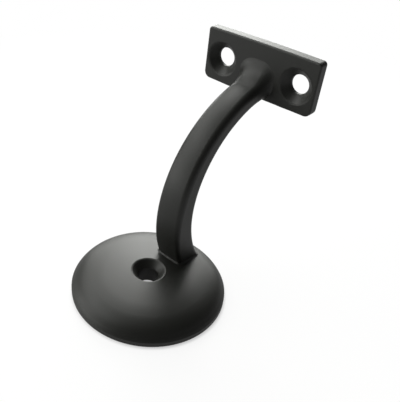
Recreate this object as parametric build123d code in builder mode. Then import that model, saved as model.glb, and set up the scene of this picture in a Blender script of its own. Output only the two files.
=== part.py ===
from build123d import *
from math import acos, asin, cos, degrees, dist, isclose, radians, sin, sqrt, tan
import os

# Handrail bracket: one die-cast piece with a round rose for the wall, a swept arm and a saddle plate for the rail.
# The wall plane is z = 0, the wall screw's axis is Z, and the arm carries the saddle towards +Y.
# All lengths are in millimetres.

# Overall
projection = 76.2
saddle_reach = 45.0

# Rose
rose_diameter = 53.1
rose_height = 8.6
rim_height = 2.0
shoulder_inset = 6.5
crown_rise = 1.65
rim_rounding = 0.5
back_edge_chamfer = 0.3

# Wall screw
wall_hole_diameter = 7.1
wall_countersink_diameter = 11.6
wall_countersink_angle = 82.0
wall_mouth_chamfer = 0.3

# Cored back of the rose, with a boss round the screw that is level with the rim
core_depth = 3.2
core_wall = 4.0
core_draft = 5.0
core_chamfer = 0.8
boss_diameter = 15.0

# Arm: seen from the side its front is an arc, and it is deepest at its root
arm_front_radius = 42.0
arm_inset = 19.55
arm_meeting_rise = 7.15
arm_root_depth = 9.15
arm_head_depth = 6.8
arm_root_width = 10.8
arm_head_width = 9.8
arm_root_crown = 0.2
arm_head_crown = 0.9
arm_root_corner = 1.2
arm_head_corner = 2.6
root_sink = 0.4
root_rounding = 0.6

# Blend of the arm into the saddle's front face
blend_length = 6.5
blend_rise = 6.3
blend_spread = 2.1
blend_corner = 3.0
blend_sink = 0.05

# Saddle plate
saddle_length = 41.9
saddle_width = 18.0
saddle_thickness = 3.4
saddle_corner = 2.3
saddle_top_corner = 1.2
saddle_crown = 0.25
saddle_front_rounding = 0.6
saddle_back_chamfer = 0.35

# Rail screws
rail_hole_spacing = 28.3
rail_hole_height = 8.5
rail_hole_diameter = 6.2
rail_countersink_diameter = 11.3
rail_countersink_angle = 90.0
rail_mouth_chamfer = 0.3

# Derived places
rail_countersink_radius = rail_countersink_diameter / 2
rose_radius = rose_diameter / 2
shoulder_radius = rose_radius - shoulder_inset
shoulder_height = rose_height - crown_rise
wall_hole_radius = wall_hole_diameter / 2
wall_countersink_radius = wall_countersink_diameter / 2
neck_height = rose_height - (wall_countersink_radius - wall_hole_radius) / tan(radians(wall_countersink_angle / 2))
core_radius = rose_radius - core_wall
boss_radius = boss_diameter / 2
core_slope = core_depth * tan(radians(core_draft))
saddle_bottom = projection - saddle_width
saddle_half = saddle_length / 2
blend_end = saddle_reach + blend_sink
blend_start = blend_end - blend_length

# The arm's centre: its front arc clears the screw's axis and meets the saddle at a set height above its lower edge
root_back_radius = arm_front_radius - arm_root_depth
head_back_radius = arm_front_radius - arm_head_depth
arm_centre_reach = rose_radius - arm_inset + arm_front_radius
arm_meeting_drop = sqrt(arm_front_radius**2 - (arm_centre_reach - saddle_reach) ** 2)
arm_centre_height = saddle_bottom + arm_meeting_rise - arm_meeting_drop
root_depth = arm_centre_height - core_depth - root_sink

# Angles of the front and back arcs at the root, just above the core, and where the blend begins
front_root_angle = -degrees(asin(root_depth / arm_front_radius))
back_root_angle = -degrees(asin(root_depth / root_back_radius))
front_head_angle = degrees(acos((arm_centre_reach - blend_start) / arm_front_radius))
back_head_angle = degrees(acos((arm_centre_reach - blend_start) / head_back_radius))

# The arm has evenly spaced sections. Those near its root lean back, those near its head turn parallel to the saddle.
sweep_steps = 6
root_share = 0.4
head_share = 0.25

# The blend's sections follow a quarter turn, which stops just short of the saddle's plane.
blend_steps = 6
blend_turn = 87


def between(start, end, share):
    return start + (end - start) * share


def on_arc(radius, angle):
    """A point (y, z) of the arm's side view, on an arc about the arm's centre."""
    turn = radians(angle)
    return arm_centre_reach - radius * cos(turn), arm_centre_height + radius * sin(turn)


def height_on_arc(radius, reach):
    """The height of an arc about the arm's centre at a given reach from the screw's axis."""
    return arm_centre_height + sqrt(radius**2 - (arm_centre_reach - reach) ** 2)


def arm_section(front, back, width, corner, crown):
    """A rounded oblong with a crowned front, from a front point to a back point of the arm's side view."""
    depth = dist(front, back)
    half_depth = depth / 2
    half_width = width / 2
    outward_y = (front[0] - back[0]) / depth
    outward_z = (front[1] - back[1]) / depth
    middle = (0, (front[0] + back[0]) / 2, (front[1] + back[1]) / 2)
    with BuildSketch(Plane(origin=middle, x_dir=(1, 0, 0), z_dir=(0, -outward_z, outward_y))) as section:
        with BuildLine():
            side_depth = half_depth - crown
            face = ThreePointArc((-half_width, side_depth), (0, half_depth), (half_width, side_depth))
            Polyline(face @ 1, (half_width, -half_depth), (-half_width, -half_depth), face @ 0)
        make_face()
        fillet(vertices(), radius=corner)
    return section.sketch.face()


def sweep_sections():
    """Sections of the arm from its root inside the rose to where the blend begins."""
    for step in range(sweep_steps + 1):
        share = step / sweep_steps
        at_root = max(0, 1 - share / root_share) ** 2
        at_head = max(0, 1 - (1 - share) / head_share) ** 2
        angle = between(front_root_angle, front_head_angle, share)
        root_lean = at_root * (back_root_angle - front_root_angle)
        head_lean = at_head * (back_head_angle - front_head_angle)
        front = on_arc(arm_front_radius, angle)
        back_radius = between(head_back_radius, root_back_radius, (1 - share) ** 2)
        back = on_arc(back_radius, angle + root_lean + head_lean)
        width = between(arm_root_width, arm_head_width, share)
        corner = between(arm_root_corner, arm_head_corner, share)
        crown = between(arm_root_crown, arm_head_crown, share)
        yield arm_section(front, back, width, corner, crown)


def blend_sections():
    """Sections parallel to the saddle that flare like a fillet, to just inside its front face."""
    for step in range(blend_steps + 1):
        turn = radians(blend_turn * step / blend_steps)
        flare = 1 - cos(turn)
        reach = blend_start + blend_length * sin(turn)
        top = height_on_arc(arm_front_radius, reach) + blend_rise * flare
        underside = height_on_arc(head_back_radius, reach)
        width = arm_head_width + 2 * blend_spread * flare
        corner = arm_head_corner + blend_corner * flare
        yield arm_section((reach, top), (reach, underside), width, corner, arm_head_crown)


# Rose: a low crown that rolls over a tighter shoulder arc to a thin rim, with a countersunk hole
with BuildPart() as rose:
    with BuildSketch(Plane.XZ):
        with BuildLine():
            crown = TangentArc((0, rose_height), (shoulder_radius, shoulder_height), tangent=(1, 0))
            shoulder = TangentArc(crown @ 1, (rose_radius, rim_height), tangent=crown % 1)
            Polyline(shoulder @ 1, (rose_radius, 0), (0, 0), (0, rose_height))
        make_face()
        fillet(vertices().sort_by_distance((rose_radius, rim_height))[0], radius=rim_rounding)
        chamfer(vertices().sort_by_distance((rose_radius, 0))[0], length=back_edge_chamfer)
        with BuildLine():
            Polyline(
                (0, 0),
                (wall_hole_radius, 0),
                (wall_hole_radius, neck_height),
                (wall_countersink_radius, rose_height),
                (0, rose_height),
                close=True,
            )
        make_face(mode=Mode.SUBTRACT)
        chamfer(vertices().sort_by_distance((wall_countersink_radius, rose_height))[0], length=wall_mouth_chamfer)
    revolve(axis=Axis.Z)

# Arm: swept from the rose towards the saddle, then blended into it
with BuildPart() as arm:
    loft(sections=[*sweep_sections()])
    loft(sections=[*blend_sections()])

# Saddle: a flat plate with crowned long edges and rounded corners
with BuildPart() as saddle:
    with BuildSketch(Plane.XZ.offset(-saddle_reach)):
        with BuildLine():
            lower = saddle_bottom + saddle_crown
            upper = projection - saddle_crown
            bottom = ThreePointArc((-saddle_half, lower), (0, saddle_bottom), (saddle_half, lower))
            crest = ThreePointArc((saddle_half, upper), (0, projection), (-saddle_half, upper))
            Line(bottom @ 1, crest @ 0)
            Line(crest @ 1, bottom @ 0)
        make_face()
        fillet(vertices().group_by(Axis.Y)[0], radius=saddle_corner)
        fillet(vertices().group_by(Axis.Y)[-1], radius=saddle_top_corner)
    extrude(amount=-saddle_thickness)
    fillet(faces().sort_by(Axis.Y)[0].edges(), radius=saddle_front_rounding)
    chamfer(faces().sort_by(Axis.Y)[-1].edges(), length=saddle_back_chamfer)

with BuildPart() as bracket:
    add(rose.part)
    add(arm.part)
    root = edges(Select.NEW).filter_by(GeomType.BSPLINE)
    fillet(root.filter_by(lambda edge: edge.bounding_box().max.Z < rose_height), radius=root_rounding)
    add(saddle.part)

    # Rail screw holes, countersunk in the saddle's front face
    rail_hole_middle = (0, saddle_reach, saddle_bottom + rail_hole_height)
    with Locations(Plane(origin=rail_hole_middle, x_dir=(1, 0, 0), z_dir=(0, -1, 0))):
        with GridLocations(rail_hole_spacing, 0, 2, 1):
            CounterSinkHole(
                radius=rail_hole_diameter / 2,
                counter_sink_radius=rail_countersink_radius,
                counter_sink_angle=rail_countersink_angle,
            )
    rings = edges().filter_by(GeomType.CIRCLE)
    chamfer(rings.filter_by(lambda ring: isclose(ring.radius, rail_countersink_radius)), length=rail_mouth_chamfer)

    # Cored back: a shallow pocket between the rim and the boss
    with BuildSketch(Plane.XZ):
        with BuildLine():
            Polyline(
                (core_radius, 0),
                (core_radius - core_slope, core_depth),
                (boss_radius + core_slope, core_depth),
                (boss_radius, 0),
                close=True,
            )
        make_face()
        chamfer(vertices().group_by(Axis.Y)[-1], length=core_chamfer)
    revolve(axis=Axis.Z, mode=Mode.SUBTRACT)

bracket.part.label = "bracket"
os.makedirs("parts", exist_ok=True)
export_step(bracket.part, "parts/bracket.step")
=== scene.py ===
from math import cos, radians, sin

import bpy
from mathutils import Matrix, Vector

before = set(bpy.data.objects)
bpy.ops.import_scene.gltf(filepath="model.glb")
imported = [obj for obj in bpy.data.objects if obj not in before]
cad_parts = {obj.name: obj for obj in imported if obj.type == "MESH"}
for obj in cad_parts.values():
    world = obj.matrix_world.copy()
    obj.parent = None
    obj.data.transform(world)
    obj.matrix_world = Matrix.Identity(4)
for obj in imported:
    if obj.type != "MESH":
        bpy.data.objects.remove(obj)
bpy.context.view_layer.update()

scene = bpy.context.scene

# All lengths are in metres, apart from the lens's, which is in millimetres.

# Powder coat: its tone and its roughness drift slowly between two values, and its skin has fine dimples
coat_dark = (0.006, 0.0064, 0.0046, 1)
coat_light = (0.0082, 0.0086, 0.0064, 1)
coat_tone_span = (0.3, 0.7)
coat_roughness_low = 0.46
coat_roughness_high = 0.5
dimple_scale = 1400
dimple_depth = 0.00001
dimple_detail = 2
drift_scale = 60
drift_detail = 3

# Easing of the turn from the rose's crown to its shoulder, by the distance from the screw's axis
easing_start = 0.015
easing_turn = 0.02005
easing_end = 0.023
easing_fill_inside = 0.00031
easing_fill_outside = 0.00018
easing_lean_none = 0.3
easing_lean_full = 0.6
easing_height_full = 0.012
easing_height_none = 0.02

# Floor: how much of it glows plain white under the rose, beside it and, as the rest, far out
floor_size = 4
floor_gap = 0.0001
floor_colour = (0.9, 0.9, 0.9, 1)
glow_in_reflections = 0.55
glow_under_rose = 0.45
glow_beside_rose = 0.88
rose_edge = 0.0262
rose_surround = 0.0277
near_floor = 0.04
far_floor = 0.25

# Studio
studio_dimness = 0.1
white = (1, 1, 1, 1)

# Lamps
bracket_middle = Vector((0, 0.012, 0.035))
lamp_distance = 0.7
lamp_colour = (0.99, 1, 0.97)

# Camera: the photo's frame is off-centre, so the lens is shifted
lens_length = 50.09
lens_shift = (0.2274, 0.0524)
nearest_seen = 0.01
camera_place = (0.093267, -0.103566, 0.141482)
camera_turn = (radians(51.0317), radians(-0.3002), radians(47.9106))


def new_material(name):
    """An empty node material with its output, ready for a shader."""
    material = bpy.data.materials.new(name)
    material.use_nodes = True
    material.node_tree.nodes.clear()
    output = material.node_tree.nodes.new("ShaderNodeOutputMaterial")
    return material, material.node_tree.nodes, material.node_tree.links, output


def new_group(name, vectors, numbers, outputs):
    """A node group with vector inputs, number inputs at their usual values, and outputs of the given kinds."""
    group = bpy.data.node_groups.new(name, "ShaderNodeTree")
    for label in vectors:
        group.interface.new_socket(label, in_out="INPUT", socket_type="NodeSocketVector")
    for label, usual in numbers.items():
        group.interface.new_socket(label, in_out="INPUT", socket_type="NodeSocketFloat").default_value = usual
    for label, kind in outputs.items():
        group.interface.new_socket(label, in_out="OUTPUT", socket_type=kind)
    entry = group.nodes.new("NodeGroupInput")
    leave = group.nodes.new("NodeGroupOutput")
    return group, group.nodes, group.links, entry, leave


def new_math(nodes, operation, kind="ShaderNodeMath"):
    """A Math node, or a Vector Math node where its kind says so, with its operation set."""
    node = nodes.new(kind)
    node.operation = operation
    return node


def new_range(nodes, start, end, at_start, at_end):
    """A Map Range node that goes from at_start to at_end while its value goes from start to end."""
    node = nodes.new("ShaderNodeMapRange")
    node.inputs["From Min"].default_value = start
    node.inputs["From Max"].default_value = end
    node.inputs["To Min"].default_value = at_start
    node.inputs["To Max"].default_value = at_end
    return node


def orange_peel_group():
    """Powder coat's fine skin: a slow drift of tone and sheen, and the fine dimples of the cured powder."""
    numbers = {"Dimple Scale": dimple_scale, "Dimple Depth": dimple_depth, "Drift Scale": drift_scale}
    outputs = {"Drift": "NodeSocketFloat", "Normal": "NodeSocketVector"}
    group, nodes, links, entry, leave = new_group("orange_peel", ["Vector"], numbers, outputs)
    dimples = nodes.new("ShaderNodeTexNoise")
    dimples.inputs["Detail"].default_value = dimple_detail
    drift = nodes.new("ShaderNodeTexNoise")
    drift.inputs["Detail"].default_value = drift_detail
    bump = nodes.new("ShaderNodeBump")
    links.new(entry.outputs["Vector"], dimples.inputs["Vector"])
    links.new(entry.outputs["Dimple Scale"], dimples.inputs["Scale"])
    links.new(entry.outputs["Vector"], drift.inputs["Vector"])
    links.new(entry.outputs["Drift Scale"], drift.inputs["Scale"])
    links.new(dimples.outputs["Fac"], bump.inputs["Height"])
    links.new(entry.outputs["Dimple Depth"], bump.inputs["Distance"])
    links.new(drift.outputs["Fac"], leave.inputs["Drift"])
    links.new(bump.outputs["Normal"], leave.inputs["Normal"])
    return group


def eased_shoulder_group():
    """How far the coat fills the turn from the rose's crown to its shoulder, on the rose's upper face alone."""
    numbers = {
        "Start Radius": easing_start,
        "Turn Radius": easing_turn,
        "End Radius": easing_end,
        "Inner Fill": easing_fill_inside,
        "Outer Fill": easing_fill_outside,
    }
    outputs = {"Height": "NodeSocketFloat"}
    group, nodes, links, entry, leave = new_group("eased_shoulder", ["Vector", "Normal"], numbers, outputs)

    # Distance from the screw's axis
    flat = new_math(nodes, "MULTIPLY", "ShaderNodeVectorMath")
    flat.inputs[1].default_value = (1, 1, 0)
    radius = new_math(nodes, "LENGTH", "ShaderNodeVectorMath")
    links.new(entry.outputs["Vector"], flat.inputs[0])
    links.new(flat.outputs["Vector"], radius.inputs[0])

    # Each side of the turn has its own fill, which grows with the square of the way towards the turn
    def fill(start, end, at_start, at_end, depth):
        share = new_range(nodes, 0, 1, at_start, at_end)
        square = new_math(nodes, "POWER")
        square.inputs[1].default_value = 2
        height = new_math(nodes, "MULTIPLY")
        links.new(radius.outputs["Value"], share.inputs["Value"])
        links.new(entry.outputs[start], share.inputs["From Min"])
        links.new(entry.outputs[end], share.inputs["From Max"])
        links.new(share.outputs["Result"], square.inputs[0])
        links.new(square.outputs["Value"], height.inputs[0])
        links.new(entry.outputs[depth], height.inputs[1])
        return height.outputs["Value"]

    fills = new_math(nodes, "SUBTRACT")
    links.new(fill("Turn Radius", "End Radius", 1, 0, "Outer Fill"), fills.inputs[0])
    links.new(fill("Start Radius", "Turn Radius", 0, 1, "Inner Fill"), fills.inputs[1])

    # Masks: 1 on faces that look up, and 1 at the height of the rose, which keeps the easing off the arm
    lean = nodes.new("ShaderNodeSeparateXYZ")
    upward = new_range(nodes, easing_lean_none, easing_lean_full, 0, 1)
    level = nodes.new("ShaderNodeSeparateXYZ")
    low = new_range(nodes, easing_height_full, easing_height_none, 1, 0)
    on_rose = new_math(nodes, "MULTIPLY")
    masked = new_math(nodes, "MULTIPLY")
    links.new(entry.outputs["Normal"], lean.inputs["Vector"])
    links.new(lean.outputs["Z"], upward.inputs["Value"])
    links.new(entry.outputs["Vector"], level.inputs["Vector"])
    links.new(level.outputs["Z"], low.inputs["Value"])
    links.new(upward.outputs["Result"], on_rose.inputs[0])
    links.new(low.outputs["Result"], on_rose.inputs[1])
    links.new(fills.outputs["Value"], masked.inputs[0])
    links.new(on_rose.outputs["Value"], masked.inputs[1])
    links.new(masked.outputs["Value"], leave.inputs["Height"])
    return group


def satin_black():
    """Satin black powder coat on the casting."""
    material, nodes, links, output = new_material("satin_black_coat")
    shader = nodes.new("ShaderNodeBsdfPrincipled")
    place = nodes.new("ShaderNodeTexCoord")
    skin = nodes.new("ShaderNodeGroup")
    skin.node_tree = orange_peel_group()
    tone = nodes.new("ShaderNodeValToRGB")
    for element, position, colour in zip(tone.color_ramp.elements, coat_tone_span, (coat_dark, coat_light)):
        element.position = position
        element.color = colour
    sheen = new_range(nodes, 0, 1, coat_roughness_low, coat_roughness_high)
    easing = nodes.new("ShaderNodeGroup")
    easing.node_tree = eased_shoulder_group()
    turn = nodes.new("ShaderNodeBump")
    turn.inputs["Distance"].default_value = 1
    links.new(place.outputs["Object"], skin.inputs["Vector"])
    links.new(skin.outputs["Drift"], tone.inputs["Fac"])
    links.new(skin.outputs["Drift"], sheen.inputs["Value"])
    links.new(tone.outputs["Color"], shader.inputs["Base Color"])
    links.new(sheen.outputs["Result"], shader.inputs["Roughness"])
    links.new(place.outputs["Object"], easing.inputs["Vector"])
    links.new(place.outputs["Normal"], easing.inputs["Normal"])
    links.new(easing.outputs["Height"], turn.inputs["Height"])
    links.new(skin.outputs["Normal"], turn.inputs["Normal"])
    links.new(turn.outputs["Normal"], shader.inputs["Normal"])
    links.new(shader.outputs["BSDF"], output.inputs["Surface"])
    return material


def white_floor():
    """The studio's white floor. It reads white to the camera and keeps the bracket's soft shadow.

    Reflections show it dimmer, and under the rose it glows less, so that the screw hole stays dark.
    """
    material, nodes, links, output = new_material("white_floor")
    paper = nodes.new("ShaderNodeBsdfDiffuse")
    paper.inputs["Color"].default_value = floor_colour
    glow = nodes.new("ShaderNodeEmission")
    seen = nodes.new("ShaderNodeLightPath")
    direct = new_math(nodes, "MAXIMUM")
    strength = new_math(nodes, "MULTIPLY_ADD")
    strength.inputs[1].default_value = glow_in_reflections
    share = new_math(nodes, "MULTIPLY")
    place = nodes.new("ShaderNodeTexCoord")
    radius = new_math(nodes, "LENGTH", "ShaderNodeVectorMath")
    outward = new_range(nodes, near_floor, far_floor, glow_beside_rose, 1)
    clear = new_range(nodes, rose_edge, rose_surround, glow_under_rose, 1)
    blend = nodes.new("ShaderNodeMixShader")
    links.new(seen.outputs["Is Camera Ray"], direct.inputs[0])
    links.new(seen.outputs["Is Glossy Ray"], direct.inputs[1])
    links.new(seen.outputs["Is Glossy Ray"], strength.inputs[0])
    links.new(seen.outputs["Is Camera Ray"], strength.inputs[2])
    links.new(strength.outputs["Value"], glow.inputs["Strength"])
    links.new(place.outputs["Object"], radius.inputs[0])
    links.new(radius.outputs["Value"], outward.inputs["Value"])
    links.new(radius.outputs["Value"], clear.inputs["Value"])
    links.new(outward.outputs["Result"], clear.inputs["To Max"])
    links.new(direct.outputs["Value"], share.inputs[0])
    links.new(clear.outputs["Result"], share.inputs[1])
    links.new(share.outputs["Value"], blend.inputs["Fac"])
    links.new(paper.outputs["BSDF"], blend.inputs[1])
    links.new(glow.outputs["Emission"], blend.inputs[2])
    links.new(blend.outputs["Shader"], output.inputs["Surface"])
    return material


def studio_air():
    """The world: an even, dim studio that is plain white where the camera looks past the floor."""
    world = bpy.data.worlds.new("studio")
    world.use_nodes = True
    nodes, links = world.node_tree.nodes, world.node_tree.links
    nodes.clear()
    dim = nodes.new("ShaderNodeBackground")
    dim.inputs["Color"].default_value = white
    dim.inputs["Strength"].default_value = studio_dimness
    plain = nodes.new("ShaderNodeBackground")
    plain.inputs["Color"].default_value = white
    seen = nodes.new("ShaderNodeLightPath")
    choose = nodes.new("ShaderNodeMixShader")
    output = nodes.new("ShaderNodeOutputWorld")
    links.new(seen.outputs["Is Camera Ray"], choose.inputs["Fac"])
    links.new(dim.outputs["Background"], choose.inputs[1])
    links.new(plain.outputs["Background"], choose.inputs[2])
    links.new(choose.outputs["Shader"], output.inputs["Surface"])
    return world


def softbox(name, turn, rise, size, power):
    """An area lamp that faces the bracket's middle, turned left of +Y and raised over the floor by these degrees."""
    turn = radians(turn)
    rise = radians(rise)
    way = Vector((-sin(turn) * cos(rise), cos(turn) * cos(rise), sin(rise)))
    lamp = bpy.data.lights.new(name, "AREA")
    lamp.shape = "RECTANGLE"
    lamp.size, lamp.size_y = size
    lamp.energy = power
    lamp.color = lamp_colour
    holder = bpy.data.objects.new(name, lamp)
    holder.location = bracket_middle + way * lamp_distance
    holder.rotation_euler = (-way).to_track_quat("-Z", "Y").to_euler()
    scene.collection.objects.link(holder)


# The casting keeps its CAD shape and takes its powder coat here.
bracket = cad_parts["bracket"]
coat = satin_black()
for slot in bracket.material_slots:
    slot.material = coat

# Floor
for thing in bpy.context.selected_objects:
    thing.select_set(False)
bpy.ops.mesh.primitive_plane_add(size=floor_size, location=(0, 0, -floor_gap))
floor = bpy.context.object
floor.name = "floor"
bpy.ops.object.transform_apply(location=True, rotation=True, scale=True)
floor.data.materials.append(white_floor())

scene.world = studio_air()

# Lamps: the main softbox stands behind the bracket on its left, and weaker ones reach round to the front
softbox("main", 41, 36, (0.28, 0.34), 3.5)
softbox("top", 62, 60, (0.3, 0.3), 1.1)
softbox("low_back", 26, 12, (0.5, 0.22), 2.0)
softbox("low_left", 58, 13, (0.42, 0.24), 1.7)
softbox("high_left", 118, 43, (0.75, 0.34), 2.95)
softbox("low_front", 135, 9, (0.6, 0.2), 1.65)

# Camera
lens = bpy.data.cameras.new("camera")
lens.lens = lens_length
lens.shift_x, lens.shift_y = lens_shift
lens.clip_start = nearest_seen
camera = bpy.data.objects.new("camera", lens)
camera.location = camera_place
camera.rotation_euler = camera_turn
scene.collection.objects.link(camera)
scene.camera = camera

scene.view_settings.view_transform = "Standard"
